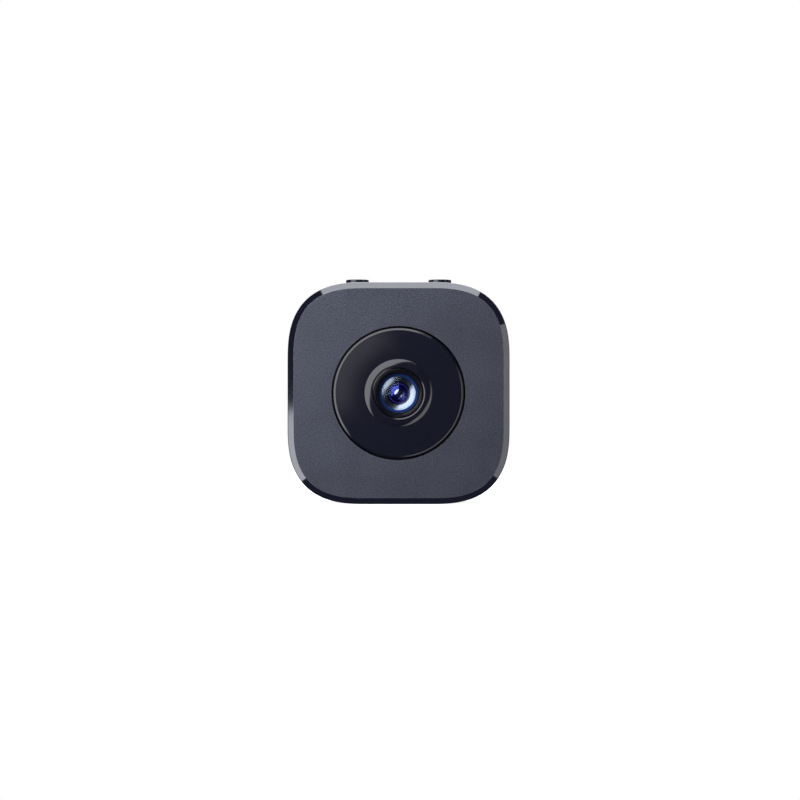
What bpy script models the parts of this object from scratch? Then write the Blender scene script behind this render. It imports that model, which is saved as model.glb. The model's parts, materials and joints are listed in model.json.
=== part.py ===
"""A square dash camera: three stacked case shells, a screwed-in lens unit, the boards behind it,
two push buttons on top, a memory card, and a stick-on steel plate that a magnet holds under the base.

The camera looks along -Y and stands on z = 0. Every object hangs on the empty optical_axis, so a
location reads (x from the lens axis, depth behind the front face, height above the lens axis).
"""

import math

import bmesh
import bpy
from mathutils import Matrix, Vector

MM = 0.001

# Driving dimensions
BODY_SIZE = 54 * MM  # width and height of the rounded-square case
BODY_DEPTH = 26 * MM  # front face to rear face
CORNER_LENGTH = 19.2 * MM  # how far each corner's curve runs along a side
CORNER_EXPONENT = 2.7  # 2 would be a circular corner, more is squarer
WALL = 2 * MM
SHELL_GAP = 0.3 * MM  # between shells, and where one piece rests on another
FINE_GAP = 0.15 * MM  # between the small pieces inside
BARREL_RADIUS = 5.9 * MM  # a lens with a 12 mm thread

# Case
CHAMFER = 1.5 * MM  # bright-cut edge round the front face
PLATE = 1.8 * MM  # front and rear plate thickness
FRAME_END = 6 * MM
HOUSING_START = FRAME_END + SHELL_GAP
HOUSING_END = 22 * MM
COVER_START = HOUSING_END + SHELL_GAP
COVER_FLOOR = BODY_DEPTH - PLATE
COVER_ROUND = 2 * MM
POST_OFFSET = 20 * MM
POST_SPOTS = [(x * POST_OFFSET, z * POST_OFFSET) for x in (-1, 1) for z in (-1, 1)]
POST_RADIUS = 2.6 * MM
CASE_SCREW_RADIUS = 0.9 * MM
CASE_BORE = 1.15 * MM
CASE_HEAD_RADIUS = 1.8 * MM
CASE_HEAD_HEIGHT = 1 * MM
CASE_HEAD_SEAT = BODY_DEPTH - 1.1 * MM
CASE_SCREW_TIP = 3 * MM
INSERT_RADIUS = 1.5 * MM
INSERT_BORE = 1.05 * MM

# Lens bezel: the gloss black disc in the front frame's round opening
OPENING_RADIUS = 16.2 * MM
BEZEL_RADIUS = 15.8 * MM
BEZEL_PROUD = 0.3 * MM
BEZEL_DOME = 0.3 * MM
BEZEL_RIM = 0.5 * MM
BEZEL_BACK = 3.1 * MM
HOOD_HEIGHT = 1.2 * MM
HOOD_RADIUS = 8.25 * MM
HOOD_TOP = 6.8 * MM
HOOD_BORE = BARREL_RADIUS + 0.2 * MM

# Lens unit
BARREL_FRONT = -0.9 * MM
BARREL_END = 13.4 * MM
RING_RADIUS = 5.45 * MM
ELEMENT_RADIUS = 5.1 * MM
CELL_RADIUS = 4.2 * MM
GLASS_VERTEX = -0.6 * MM
GLASS_CURVE = 9 * MM
HOLDER_BORE = BARREL_RADIUS + 0.15 * MM
HOLDER_RADIUS = 7.6 * MM
HOLDER_FRONT = 6.6 * MM
HOLDER_BASE = 13.6 * MM
HOLDER_EAR = 11 * MM

# Boards
BOARD_FRONT = 15.8 * MM
BOARD_THICKNESS = 1.2 * MM
BOARD_BACK = BOARD_FRONT + BOARD_THICKNESS
CHIP_LEVEL = BOARD_BACK + FINE_GAP
HOLDER_END = BOARD_FRONT - SHELL_GAP
BOARD_SCREW_SPOTS = [
    (-22.4 * MM, 14 * MM), (22.4 * MM, 14 * MM), (-13 * MM, -22.4 * MM), (13 * MM, -22.4 * MM)
]
SMALL_SCREW_RADIUS = 0.75 * MM
SMALL_BORE = 0.9 * MM
SMALL_HEAD_RADIUS = 1.5 * MM
SMALL_HEAD_HEIGHT = 0.9 * MM

# Buttons: heights are above the lens axis
BUTTON_X = 10.15 * MM
BUTTON_DEPTH = 11.6 * MM
BUTTON_RADIUS = 2.8 * MM
BUTTON_HOLE = BUTTON_RADIUS + 0.2 * MM
BUTTON_PROUD = 1 * MM
TOP_HEIGHT = BODY_SIZE / 2
INNER_TOP = TOP_HEIGHT - WALL
FLANGE_TOP = INNER_TOP - 0.5 * MM  # the wall curves down here
STEM_END = 22.4 * MM
PLUNGER_TOP = STEM_END - SHELL_GAP
SWITCH_BASE = 19.05 * MM
SWITCH_HEIGHT = 2.25 * MM
KEY_BOARD_TOP = 18.9 * MM
KEY_BOARD_THICKNESS = 1 * MM
KEY_BOARD_LENGTH = 32 * MM
KEY_BOARD_WIDTH = 6.2 * MM

# Sockets in the side walls
CARD_Z = -10 * MM
CARD_DEPTH = 14.9 * MM
CARD_SIZE = (15 * MM, 0.75 * MM, 11 * MM)
CARD_OUTER_X = -26.6 * MM
USB_Z = -8 * MM
USB_DEPTH = 18.75 * MM
SPEAKER_Z = 4 * MM
SPEAKER_DEPTH = 11 * MM
MICROPHONE_Z = 6 * MM

# Back: a field of cooling grooves, of which the outer ones go right through
PIPE_SPOT = (-15.5 * MM, 19.9 * MM)
GROOVE_PITCH = 2.2 * MM
GROOVE_WIDTH = 1 * MM
GROOVE_DEPTH = 0.7 * MM
GROOVE_ROWS = 10  # above and below the middle one
VENT_ROWS = 3

# Base: the plate and its adhesive pad sit flush in a recess, below the magnet
BASE_DEPTH = (HOUSING_START + HOUSING_END) / 2
RECESS_SIZE = (26 * MM, 10.6 * MM)
RECESS_CEILING = 1.4 * MM - TOP_HEIGHT
MAGNET_SEAT = 2.6 * MM - TOP_HEIGHT
MOUNT_PLATE_SIZE = (RECESS_SIZE[0] - 2 * SHELL_GAP, RECESS_SIZE[1] - 2 * SHELL_GAP)
MOUNT_PLATE_THICKNESS = 0.6 * MM
PAD_THICKNESS = 0.6 * MM

# The overall box is centred on y = 0
FRONT_Y = HOOD_HEIGHT - (HOOD_HEIGHT + BODY_DEPTH) / 2


def clear_scene():
    for item in list(bpy.data.objects):
        bpy.data.objects.remove(item, do_unlink=True)


def material(name, colour, roughness, metallic=0.0):
    made = bpy.data.materials.new(name)
    made.use_nodes = True
    shader = made.node_tree.nodes["Principled BSDF"]
    shader.inputs["Base Color"].default_value = (*colour, 1)
    shader.inputs["Roughness"].default_value = roughness
    shader.inputs["Metallic"].default_value = metallic
    return made


def finish(name, shape, finish_material, location=(0, 0, 0), rotation=(0, 0, 0)):
    """Turns a bmesh into an object on the optical axis empty, smooth except at its hard edges."""
    bmesh.ops.recalc_face_normals(shape, faces=shape.faces)
    mesh = bpy.data.meshes.new(name)
    shape.to_mesh(mesh)
    shape.free()
    mesh.shade_smooth()
    mesh.set_sharp_from_angle(angle=math.radians(35))
    mesh.materials.append(finish_material)
    made = bpy.data.objects.new(name, mesh)
    bpy.context.scene.collection.objects.link(made)
    made.parent = bpy.data.objects["optical_axis"]
    made.location = location
    made.rotation_euler = rotation
    return made


def tool(name, shape, location=(0, 0, 0), rotation=(0, 0, 0)):
    """A cutter or an added lump, which shows only through the piece it works on."""
    made = finish(name, shape, bpy.data.materials["tool"], location, rotation)
    made.hide_render = True
    made.display_type = "WIRE"
    return made


def combine(piece, operation, *tools):
    for other in tools:
        boolean = piece.modifiers.new(other.name, "BOOLEAN")
        boolean.operation = operation
        boolean.solver = "EXACT"
        boolean.object = other


def case_outline(inset, steps=9):
    """(x, z) points round the case, the corner curve moved inwards along its own normals."""
    flat = BODY_SIZE / 2 - CORNER_LENGTH
    power = CORNER_EXPONENT
    points = []
    for quarter in range(4):
        quarter_turn = Matrix.Rotation(quarter * math.pi / 2, 2)
        for step in range(steps + 1):
            angle = math.pi / 2 * step / steps
            across = abs(math.cos(angle)) ** (2 / power)
            up = abs(math.sin(angle)) ** (2 / power)
            normal = Vector((across ** (power - 1), up ** (power - 1))).normalized()
            corner = Vector((flat + CORNER_LENGTH * across, flat + CORNER_LENGTH * up))
            points.append(quarter_turn @ (corner - inset * normal))
    return points


def rounded_rectangle(width, height, radius, steps=3):
    points = []
    for quarter, (side, end) in enumerate(((1, 1), (-1, 1), (-1, -1), (1, -1))):
        centre = Vector((side * (width / 2 - radius), end * (height / 2 - radius)))
        for step in range(steps + 1):
            angle = (quarter + step / steps) * math.pi / 2
            points.append(centre + radius * Vector((math.cos(angle), math.sin(angle))))
    return points


def case_loft(sections, closed=False):
    """A solid with case outlines as cross-sections, from (inset, depth) pairs. A closed loft is a tube."""
    shape = bmesh.new()
    rings = [[shape.verts.new((x, depth, z)) for x, z in case_outline(inset)] for inset, depth in sections]
    pairs = list(zip(rings, rings[1:]))
    if closed:
        pairs.append((rings[-1], rings[0]))
    for near, far in pairs:
        for i in range(len(near)):
            shape.faces.new((near[i - 1], near[i], far[i], far[i - 1]))
    if not closed:
        shape.faces.new(rings[0])
        shape.faces.new(rings[-1])
    return shape


def prism(points, near, far):
    """An (x, z) outline extruded along the depth."""
    shape = bmesh.new()
    face = shape.faces.new([shape.verts.new((x, near, z)) for x, z in points])
    grown = bmesh.ops.extrude_face_region(shape, geom=[face])
    moved = [item for item in grown["geom"] if isinstance(item, bmesh.types.BMVert)]
    bmesh.ops.translate(shape, verts=moved, vec=(0, far - near, 0))
    return shape


def turned(profile, steps=24):
    """A solid turned about the depth axis, from (radius, depth) points round its half section."""
    shape = bmesh.new()
    points = [shape.verts.new((radius, depth, 0)) for radius, depth in profile]
    on_axis = profile[0][0] == 0 and profile[-1][0] == 0
    ends = points[1:] if on_axis else points[1:] + points[:1]
    edges = [shape.edges.new(pair) for pair in zip(points, ends)]
    bmesh.ops.spin(
        shape,
        geom=points + edges,
        cent=(0, 0, 0),
        axis=(0, 1, 0),
        angle=2 * math.pi,
        steps=steps,
        use_merge=True,
    )
    bmesh.ops.remove_doubles(shape, verts=shape.verts, dist=1e-7)
    return shape


def add_peg(shape, centre, length, radius, axis="Y", steps=16):
    turn = {
        "X": Matrix.Rotation(math.pi / 2, 4, "Y"), "Y": Matrix.Rotation(math.pi / 2, 4, "X"), "Z": Matrix()
    }
    bmesh.ops.create_cone(
        shape,
        cap_ends=True,
        segments=steps,
        radius1=radius,
        radius2=radius,
        depth=length,
        matrix=Matrix.Translation(centre) @ turn[axis],
    )


def pegs(spots, radius, near, far, steps=16):
    """Cylinders along the depth, one at each (x, z) spot."""
    shape = bmesh.new()
    for x, z in spots:
        add_peg(shape, (x, (near + far) / 2, z), far - near, radius, steps=steps)
    return shape


def add_block(shape, low, high):
    low, high = Vector(low), Vector(high)
    size = Matrix.Diagonal((*(high - low), 1))
    bmesh.ops.create_cube(shape, size=1, matrix=Matrix.Translation((low + high) / 2) @ size)


def block(size, bevel=0.0):
    """A block of size (x, depth, z) about its own middle, with its edges bevelled."""
    shape = bmesh.new()
    half = Vector(size) / 2
    add_block(shape, -half, half)
    if bevel:
        bmesh.ops.bevel(shape, geom=shape.edges, offset=bevel, segments=1, affect="EDGES", profile=0.5)
    return shape


def level_plate(size, radius, low, high):
    """A horizontal rounded-rectangle plate of size (x, depth), centred on the base recess."""
    shape = prism(rounded_rectangle(*size, radius), 0, high - low)
    bmesh.ops.transform(shape, matrix=Matrix.Rotation(math.pi / 2, 4, "X"), verts=shape.verts)
    bmesh.ops.translate(shape, verts=shape.verts, vec=(0, BASE_DEPTH, low))
    return shape


def arc_profile(curve, vertex, radius, steps=4):
    """(radius, depth) points on a spherical face, from the axis out. A negative curve bulges rearwards."""
    points = []
    for step in range(steps + 1):
        across = radius * step / steps
        sag = abs(curve) - math.sqrt(curve**2 - across**2)
        points.append((across, vertex + math.copysign(sag, curve)))
    return points


# Case shells


def front_frame():
    frame = finish(
        "front_frame",
        case_loft([(CHAMFER, 0), (0, CHAMFER), (0, FRAME_END), (WALL, FRAME_END), (WALL, PLATE)]),
        bpy.data.materials["anodised_grey"],
    )
    posts = tool("frame_posts", pegs(POST_SPOTS, POST_RADIUS, PLATE / 2, FRAME_END - 0.1 * MM))
    opening = tool("lens_opening", pegs([(0, 0)], OPENING_RADIUS, -MM, PLATE + MM, steps=40))
    seats = tool(
        "insert_seats", pegs(POST_SPOTS, INSERT_RADIUS + FINE_GAP, 2.2 * MM, FRAME_END + MM, steps=12)
    )
    combine(frame, "UNION", posts)
    combine(frame, "DIFFERENCE", opening, seats)


def lens_bezel():
    face = -BEZEL_PROUD
    # the hood rolls over from its flat top, steeper towards its foot
    start, end = math.radians(10), math.radians(35)
    roll = (HOOD_RADIUS - HOOD_TOP) / (math.sin(end) - math.sin(start))
    hood = []
    for step in range(5):
        slope = start + (end - start) * step / 4
        across = roll * (math.sin(slope) - math.sin(start))
        hood.append((HOOD_TOP + across, -HOOD_HEIGHT + roll * (math.cos(start) - math.cos(slope))))
    profile = [
        (HOOD_BORE, BEZEL_BACK),
        (HOOD_BORE, -HOOD_HEIGHT + 0.13 * MM),
        (HOOD_BORE + 0.3 * MM, -HOOD_HEIGHT),
        *hood,
        ((HOOD_RADIUS + BEZEL_RADIUS) / 2, face - 0.6 * BEZEL_DOME),
        (BEZEL_RADIUS - BEZEL_RIM, face),
        (BEZEL_RADIUS, face + 0.6 * BEZEL_RIM),
        (BEZEL_RADIUS, PLATE + SHELL_GAP),
        (BEZEL_RADIUS + 2 * MM, PLATE + SHELL_GAP),
        (BEZEL_RADIUS + 2 * MM, BEZEL_BACK),
    ]
    finish("lens_bezel", turned(profile, steps=40), bpy.data.materials["gloss_black"])


def main_housing():
    housing = finish(
        "main_housing",
        case_loft(
            [(0, HOUSING_START), (0, HOUSING_END), (WALL, HOUSING_END), (WALL, HOUSING_START)], closed=True
        ),
        bpy.data.materials["matt_grey"],
    )
    ribs = pegs(POST_SPOTS, POST_RADIUS, HOUSING_START + 0.1 * MM, HOUSING_END - 0.1 * MM)
    ledge_near, ledge_far, ledge_half = 12.5 * MM, BOARD_FRONT - FINE_GAP, 2.3 * MM
    wall_core = INNER_TOP + 0.4 * MM
    for x, z in BOARD_SCREW_SPOTS:
        if z > 0:
            inner, outer = sorted((math.copysign(20.1 * MM, x), math.copysign(wall_core, x)))
            add_block(ribs, (inner, ledge_near, z - ledge_half), (outer, ledge_far, z + ledge_half))
        else:
            add_block(
                ribs, (x - ledge_half, ledge_near, -wall_core), (x + ledge_half, ledge_far, -20.1 * MM)
            )
    rib_near, rib_far = BUTTON_DEPTH - 2.9 * MM, BUTTON_DEPTH + 2.9 * MM
    for x in (-15.2 * MM, 0, 15.2 * MM):
        low = (x - 0.8 * MM, rib_near, KEY_BOARD_TOP + SHELL_GAP)
        add_block(ribs, low, (x + 0.8 * MM, rib_far, INNER_TOP + 0.2 * MM))
    floor_size = (RECESS_SIZE[0] + 2 * MM, RECESS_SIZE[1] + 2 * MM)
    floor = level_plate(floor_size, 1.4 * MM, -wall_core, MAGNET_SEAT)
    combine(housing, "UNION", tool("housing_ribs", ribs), tool("recess_floor", floor))

    bores = pegs(POST_SPOTS, CASE_BORE, HOUSING_START - MM, HOUSING_END + MM, steps=12)
    for x, z in BOARD_SCREW_SPOTS:
        add_peg(bores, (x, 15 * MM, z), 3 * MM, SMALL_BORE, steps=10)
    for side in (-1, 1):
        add_peg(
            bores, (side * BUTTON_X, BUTTON_DEPTH, TOP_HEIGHT), 3 * WALL, BUTTON_HOLE, axis="Z", steps=24
        )
    add_peg(bores, (TOP_HEIGHT, 18 * MM, MICROPHONE_Z), 3 * WALL, 0.6 * MM, axis="X", steps=10)
    recess = level_plate(RECESS_SIZE, 1.4 * MM, -TOP_HEIGHT - MM, RECESS_CEILING)
    across_wall = (0, 0, math.pi / 2)
    usb = tool(
        "usb_cutout",
        prism(rounded_rectangle(3.8 * MM, 9.5 * MM, 1.85 * MM), -1.5 * WALL, 1.5 * WALL),
        (TOP_HEIGHT, USB_DEPTH, USB_Z),
        across_wall,
    )
    card = tool(
        "card_cutout",
        prism(rounded_rectangle(1.5 * MM, 12 * MM, 0.7 * MM, steps=2), -1.5 * WALL, 1.5 * WALL),
        (-TOP_HEIGHT, CARD_DEPTH, CARD_Z),
        across_wall,
    )
    scoop_radius = 6 * MM
    scoop = bmesh.new()
    add_peg(scoop, (0, 0, 0), 4.4 * MM, scoop_radius, steps=24)
    scoop = tool("card_scoop", scoop, (-TOP_HEIGHT - scoop_radius + 0.8 * MM, CARD_DEPTH, CARD_Z))
    slots = bmesh.new()
    for step in range(-2, 3):
        middle = Vector((-TOP_HEIGHT, SPEAKER_DEPTH + step * 1.2 * MM, SPEAKER_Z))
        length = (6.6 - 1.3 * abs(step)) * MM
        half = Vector((1.5 * WALL, 0.35 * MM, length / 2))
        add_block(slots, middle - half, middle + half)
    cuts = [tool("housing_bores", bores), tool("base_recess", recess), tool("speaker_slots", slots)]
    combine(housing, "DIFFERENCE", *cuts, usb, card, scoop)


def rear_cover():
    sections = [(WALL, COVER_FLOOR), (WALL, COVER_START), (0, COVER_START)]
    for step in range(4):
        angle = math.pi / 2 * step / 3
        inset = COVER_ROUND * (1 - math.cos(angle))
        sections.append((inset, BODY_DEPTH - COVER_ROUND + COVER_ROUND * math.sin(angle)))
    cover = finish("rear_cover", case_loft(sections), bpy.data.materials["matt_grey"])
    posts = tool("cover_posts", pegs(POST_SPOTS, POST_RADIUS, COVER_START + 0.1 * MM, COVER_FLOOR + MM))
    combine(cover, "UNION", posts)
    cuts = pegs(POST_SPOTS, CASE_BORE, COVER_START - MM, CASE_HEAD_SEAT - 0.5 * MM, steps=12)
    add_peg(cuts, (PIPE_SPOT[0], BODY_DEPTH, PIPE_SPOT[1]), 4 * WALL, 1.2 * MM, steps=12)
    for row in range(-GROOVE_ROWS, GROOVE_ROWS + 1):
        is_vent = abs(row) > GROOVE_ROWS - VENT_ROWS
        near = BODY_DEPTH - (2 * PLATE if is_vent else GROOVE_DEPTH)
        half_length = (11 if is_vent else 15) * MM
        z = row * GROOVE_PITCH
        add_block(
            cuts,
            (-half_length, near, z - GROOVE_WIDTH / 2),
            (half_length, BODY_DEPTH + MM, z + GROOVE_WIDTH / 2),
        )
    heads = pegs(POST_SPOTS, CASE_HEAD_RADIUS + SHELL_GAP, CASE_HEAD_SEAT - FINE_GAP, BODY_DEPTH + MM)
    bores = pegs(POST_SPOTS, CASE_BORE, CASE_HEAD_SEAT - MM, BODY_DEPTH, steps=12)
    combine(
        cover,
        "DIFFERENCE",
        tool("cover_cuts", cuts),
        tool("head_recesses", heads),
        tool("head_bores", bores),
    )


# Lens unit, front to back


def lens_unit():
    black = bpy.data.materials["barrel_black"]
    glass = bpy.data.materials["glass"]
    ring_seat = 1 * MM
    cell = CELL_RADIUS + FINE_GAP
    mouth = RING_RADIUS + 0.05 * MM
    barrel = [
        (mouth, BARREL_FRONT),
        (BARREL_RADIUS, BARREL_FRONT),
        (BARREL_RADIUS, BARREL_END),
        (3.4 * MM, BARREL_END),
        (3.4 * MM, 10.6 * MM),
        (cell, 10.6 * MM),
        (cell, 3.9 * MM),
        (ELEMENT_RADIUS + FINE_GAP, 3.9 * MM),
        (ELEMENT_RADIUS + FINE_GAP, ring_seat),
        (mouth, ring_seat),
    ]
    finish("lens_barrel", turned(barrel), black)

    ring_back = 0.6 * MM
    retaining_ring = [
        (4.83 * MM, 0.45 * MM),
        (4.83 * MM, 0.1 * MM),
        (5.05 * MM, -0.1 * MM),
        (5.05 * MM, -0.3 * MM),
        (5.3 * MM, -0.6 * MM),
        (RING_RADIUS - 0.1 * MM, -0.6 * MM),
        (RING_RADIUS - 0.1 * MM, ring_back),
        (4.83 * MM, ring_back),
    ]
    finish("lens_retaining_ring", turned(retaining_ring), black)

    front_edge = arc_profile(GLASS_CURVE, GLASS_VERTEX, ELEMENT_RADIUS, steps=5)
    hollow = arc_profile(4.5 * MM, 0.6 * MM, 3.4 * MM)
    finish(
        "lens_front_element", turned(front_edge + [(ELEMENT_RADIUS, hollow[-1][1])] + hollow[::-1]), glass
    )
    spacer_front = hollow[-1][1] + FINE_GAP
    front_spacer = [
        (4.05 * MM, spacer_front),
        (ELEMENT_RADIUS, spacer_front),
        (ELEMENT_RADIUS, 3.75 * MM),
        (2.45 * MM, 3.75 * MM),
        (2.45 * MM, 3.4 * MM),
    ]
    finish("lens_front_spacer", turned(front_spacer), black)

    dome = arc_profile(3.4 * MM, 3.1 * MM, 2.3 * MM)
    back_hollow = arc_profile(-7 * MM, 5.5 * MM, 2.4 * MM, steps=3)
    second = dome + [(CELL_RADIUS, 4.05 * MM), (CELL_RADIUS, 5.9 * MM), (2.4 * MM, 5.9 * MM)] + back_hollow[
        ::-1
    ]
    finish("lens_second_element", turned(second, 20), glass)
    finish("lens_rear_spacer", turned(ring_profile(2.7 * MM, CELL_RADIUS, 6.05 * MM, 7 * MM), 20), black)
    finish("aperture_stop", turned(ring_profile(1.2 * MM, CELL_RADIUS, 7.15 * MM, 7.4 * MM), 20), black)
    rear = (
        arc_profile(6 * MM, 7.6 * MM, 3.4 * MM, steps=3)
        + [(CELL_RADIUS, 8.66 * MM), (CELL_RADIUS, 9.4 * MM)]
        + arc_profile(-8 * MM, 10.3 * MM, 3.4 * MM, steps=3)[::-1]
    )
    finish("lens_rear_element", turned(rear, 20), glass)
    finish(
        "lens_gasket",
        turned(ring_profile(HOLDER_BORE, 8.2 * MM, 3.4 * MM, 4.7 * MM)),
        bpy.data.materials["foam"],
    )
    finish("focus_lock_ring", turned(ring_profile(HOLDER_BORE, 8.2 * MM, 5 * MM, 6.3 * MM)), black)


def ring_profile(inner, outer, near, far):
    return [(inner, near), (outer, near), (outer, far), (inner, far)]


def lens_holder():
    base = prism(rounded_rectangle(18 * MM, 18 * MM, 1.5 * MM, steps=2), HOLDER_BASE, HOLDER_END)
    holder = finish("lens_holder", base, bpy.data.materials["barrel_black"])
    inset = 0.1 * MM
    ears = prism(rounded_rectangle(26 * MM, 5.6 * MM, 2.7 * MM), HOLDER_BASE + inset, HOLDER_END - inset)
    tube = pegs([(0, 0)], HOLDER_RADIUS, HOLDER_FRONT, HOLDER_BASE + 0.5 * MM, steps=24)
    combine(holder, "UNION", tool("holder_ears", ears), tool("holder_tube", tube))
    bore = pegs([(0, 0)], HOLDER_BORE, HOLDER_FRONT - MM, HOLDER_BASE, steps=24)
    window = pegs([(0, 0)], 3.6 * MM, HOLDER_BASE - MM, HOLDER_END + MM)
    cavity = bmesh.new()
    half = 5.5 * MM
    add_block(cavity, (-half, HOLDER_BASE + 0.5 * MM, -half), (half, HOLDER_END + MM, half))
    screws = pegs(
        [(-HOLDER_EAR, 0), (HOLDER_EAR, 0)], SMALL_BORE, HOLDER_BASE - MM, HOLDER_END + MM, steps=12
    )
    combine(
        holder,
        "DIFFERENCE",
        tool("holder_bore", bore),
        tool("holder_window", window),
        tool("sensor_cavity", cavity),
        tool("holder_screw_holes", screws),
    )
    filter_front = HOLDER_BASE + 0.65 * MM
    finish(
        "infrared_filter",
        block((8.4 * MM, 0.3 * MM, 8.4 * MM)),
        bpy.data.materials["glass"],
        (0, filter_front + 0.15 * MM, 0),
    )
    sensor_size = (8.6 * MM, 0.8 * MM, 7.2 * MM)
    sensor_depth = BOARD_FRONT - FINE_GAP - sensor_size[1] / 2
    finish("image_sensor", block(sensor_size, 0.1 * MM), bpy.data.materials["chip"], (0, sensor_depth, 0))


# Boards and what they carry


def main_board():
    board = finish(
        "main_board",
        case_loft([(2.8 * MM, BOARD_FRONT), (2.8 * MM, BOARD_BACK)]),
        bpy.data.materials["board"],
    )
    notches = pegs(POST_SPOTS, POST_RADIUS + 0.5 * MM, BOARD_FRONT - MM, BOARD_BACK + MM)
    screw_spots = BOARD_SCREW_SPOTS + [(-HOLDER_EAR, 0), (HOLDER_EAR, 0)]
    holes = pegs(screw_spots, 0.95 * MM, BOARD_FRONT - MM, BOARD_BACK + MM, steps=12)
    combine(board, "DIFFERENCE", tool("post_notches", notches), tool("board_holes", holes))


def on_board_back(name, size, spot, finish_name):
    """A component on the board's rear face, at an (x, z) spot."""
    location = (spot[0], CHIP_LEVEL + size[1] / 2, spot[1])
    finish(name, block(size, 0.1 * MM), bpy.data.materials[finish_name], location)
    return CHIP_LEVEL + size[1]


def components():
    chip_top = on_board_back("processor", (12 * MM, 1.2 * MM, 12 * MM), (0, 2 * MM), "chip")
    on_board_back("memory_chip", (8 * MM, 1 * MM, 10 * MM), (11.5 * MM, 8.5 * MM), "chip")
    on_board_back("wireless_module", (13 * MM, 1.6 * MM, 10 * MM), (-11 * MM, -13 * MM), "bright_metal")
    on_board_back("microphone", (3.8 * MM, 1.1 * MM, 3 * MM), (22 * MM, MICROPHONE_Z), "bright_metal")
    on_board_back("status_led", (1.6 * MM, 0.8 * MM, 1.6 * MM), PIPE_SPOT, "led_white")

    pad_thickness = 1.4 * MM
    pad_depth = chip_top + FINE_GAP + pad_thickness / 2
    pad = block((12 * MM, pad_thickness, 12 * MM), 0.1 * MM)
    finish("thermal_pad", pad, bpy.data.materials["thermal_pad"], (0, pad_depth, 2 * MM))
    spreader_front = chip_top + pad_thickness + 2 * FINE_GAP
    spreader = prism(rounded_rectangle(30 * MM, 26 * MM, 2 * MM), spreader_front, spreader_front + MM)
    finish("heat_spreader", spreader, bpy.data.materials["bright_metal"])

    pipe = [
        (0, CHIP_LEVEL + MM),
        (1.5 * MM, CHIP_LEVEL + MM),
        (1.5 * MM, CHIP_LEVEL + 2 * MM),
        (MM, CHIP_LEVEL + 2 * MM),
        (MM, BODY_DEPTH - 0.1 * MM),
        (0, BODY_DEPTH - 0.1 * MM),
    ]
    finish("light_pipe", turned(pipe, 12), bpy.data.materials["led_white"], (PIPE_SPOT[0], 0, PIPE_SPOT[1]))


def backup_capacitors():
    radius, length, crimp = 4 * MM, 11.8 * MM, 0.3 * MM
    back = BOARD_FRONT - FINE_GAP
    front = back - length
    can = [
        (0, front + 0.3 * MM),
        (radius - MM, front + 0.3 * MM),
        (radius - 0.8 * MM, front),
        (radius - 0.3 * MM, front),
        (radius, front + 0.3 * MM),
        (radius, back - 2 * MM),
        (radius - crimp, back - 1.7 * MM),
        (radius, back - 1.4 * MM),
        (radius, back),
        (0, back),
    ]
    for name, x in (("left_capacitor", -3.6 * MM), ("right_capacitor", 5.6 * MM)):
        finish(name, turned(can, 16), bpy.data.materials["capacitor_sleeve"], (x, 0, -15.6 * MM))


def speaker():
    radius, thickness = 4.5 * MM, 3.3 * MM
    profile = [
        (0, 0.4 * MM),
        (1.6 * MM, 0.7 * MM),
        (2 * MM, MM),
        (3 * MM, 0.5 * MM),
        (3.6 * MM, 0.8 * MM),
        (3.8 * MM, 0),
        (radius, 0),
        (radius, 1.4 * MM),
        (radius - 0.8 * MM, thickness),
        (0, thickness),
    ]
    wall_side = -INNER_TOP + SHELL_GAP
    facing_left = (0, 0, -math.pi / 2)
    finish(
        "speaker",
        turned(profile),
        bpy.data.materials["barrel_black"],
        (wall_side, SPEAKER_DEPTH, SPEAKER_Z),
        facing_left,
    )
    start = Vector((wall_side + thickness + FINE_GAP, SPEAKER_DEPTH + MM, SPEAKER_Z + 1.5 * MM))
    ends = [
        start,
        start + Vector((1.6, 0.2, 1.2)) * MM,
        start + Vector((3.2, 1.4, 3.0)) * MM,
        start + Vector((3.6, 3.3, 3.6)) * MM,
    ]
    route("speaker_lead", ends, 0.45 * MM, "wire")


def route(name, points, radius, finish_name):
    """A round wire through its points, on a smooth curve."""
    curve = bpy.data.curves.new(name, "CURVE")
    curve.dimensions = "3D"
    curve.bevel_depth = radius
    curve.bevel_resolution = 2
    curve.use_fill_caps = True
    spline = curve.splines.new("POLY")
    line = smooth_line(points)
    spline.points.add(len(line) - 1)
    for place, point in zip(spline.points, line):
        place.co = (*point, 1)
    curve.materials.append(bpy.data.materials[finish_name])
    made = bpy.data.objects.new(name, curve)
    bpy.context.scene.collection.objects.link(made)
    made.parent = bpy.data.objects["optical_axis"]


def smooth_line(points, steps=4):
    """A Catmull-Rom line through the points."""
    padded = [points[0], *points, points[-1]]
    line = []
    for a, b, c, d in zip(padded, padded[1:], padded[2:], padded[3:]):
        for step in range(steps):
            t = step / steps
            line.append(
                0.5 * (2 * b + (c - a) * t + (2 * a - 5 * b + 4 * c - d) * t**2 + (3 * b - a - 3 * c + d) * t**3),
            )
    return line + [points[-1]]


def usb_socket():
    """A receptacle facing +X: a rounded shell, closed at the back, with a tongue in it."""
    width, height, length, sheet = 8.94 * MM, 3.26 * MM, 7.3 * MM, 0.3 * MM
    mouth = TOP_HEIGHT - MM
    facing_right = (0, 0, math.pi / 2)
    location = (mouth, USB_DEPTH, USB_Z)
    outer = prism(rounded_rectangle(height, width, height / 2 - 0.05 * MM), 0, length)
    shell = finish("usb_socket", outer, bpy.data.materials["bright_metal"], location, facing_right)
    hollow_size = (height - 2 * sheet, width - 2 * sheet)
    hollow = prism(rounded_rectangle(*hollow_size, hollow_size[0] / 2 - 0.05 * MM), -MM, length - MM)
    tongue = bmesh.new()
    add_block(tongue, (-0.35 * MM, 0.8 * MM, -3.3 * MM), (0.35 * MM, length - 0.5 * MM, 3.3 * MM))
    combine(shell, "DIFFERENCE", tool("usb_hollow", hollow, location, facing_right))
    combine(shell, "UNION", tool("usb_tongue", tongue, location, facing_right))


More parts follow.
